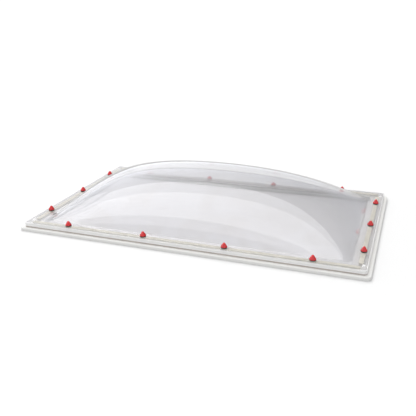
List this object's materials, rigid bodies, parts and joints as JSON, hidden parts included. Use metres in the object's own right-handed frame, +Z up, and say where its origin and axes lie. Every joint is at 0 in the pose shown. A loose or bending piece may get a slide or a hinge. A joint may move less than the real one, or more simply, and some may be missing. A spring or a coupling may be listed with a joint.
{
  "type": "roof skylight",
  "caption": "Fixed roof skylight: clear blown plastic domes, nested and bedded on foam tape, screwed through flat rims to a moulded base frame, with red cone-shaped screw caps.",
  "frame": {"origin": "middle of the base frame's underside, in plan and in height the lowest point", "axes": "+Z up out of the roof, +X along the long side, +Y across; the camera side is -Y"},
  "size_m": [1.15, 0.73, 0.175],
  "materials": {
    "outer_skin": "clear gloss",
    "inner_skin": "clear gloss",
    "spacer_clear": "clear gloss",
    "frame_plastic": "satin",
    "foam_tape": "matt closed-cell foam",
    "seal_foam": "matt open-cell foam",
    "bush_plastic": "matt",
    "seal_rubber": "matt",
    "screw_steel": "bright zinc",
    "cap_red": "gloss"
  },
  "bodies": {
    "root": {"base_frame": "frame_plastic", "inner_dome": "inner_skin", "outer_dome": "outer_skin", "corner_spacers": "spacer_clear", "lip_seal": "seal_foam", "lower_tape_front": "foam_tape", "lower_tape_back": "foam_tape", "lower_tape_left": "foam_tape", "lower_tape_right": "foam_tape", "upper_tape_front": "foam_tape", "upper_tape_back": "foam_tape", "upper_tape_left": "foam_tape", "upper_tape_right": "foam_tape", "bushes_front": "bush_plastic", "bushes_back": "bush_plastic", "bushes_left": "bush_plastic", "bushes_right": "bush_plastic", "washers_front": "seal_rubber", "washers_back": "seal_rubber", "washers_left": "seal_rubber", "washers_right": "seal_rubber", "screws_front": "screw_steel", "screws_back": "screw_steel", "screws_left": "screw_steel", "screws_right": "screw_steel", "caps_front": "cap_red", "caps_back": "cap_red", "caps_left": "cap_red", "caps_right": "cap_red"}
  },
  "joints": []
}
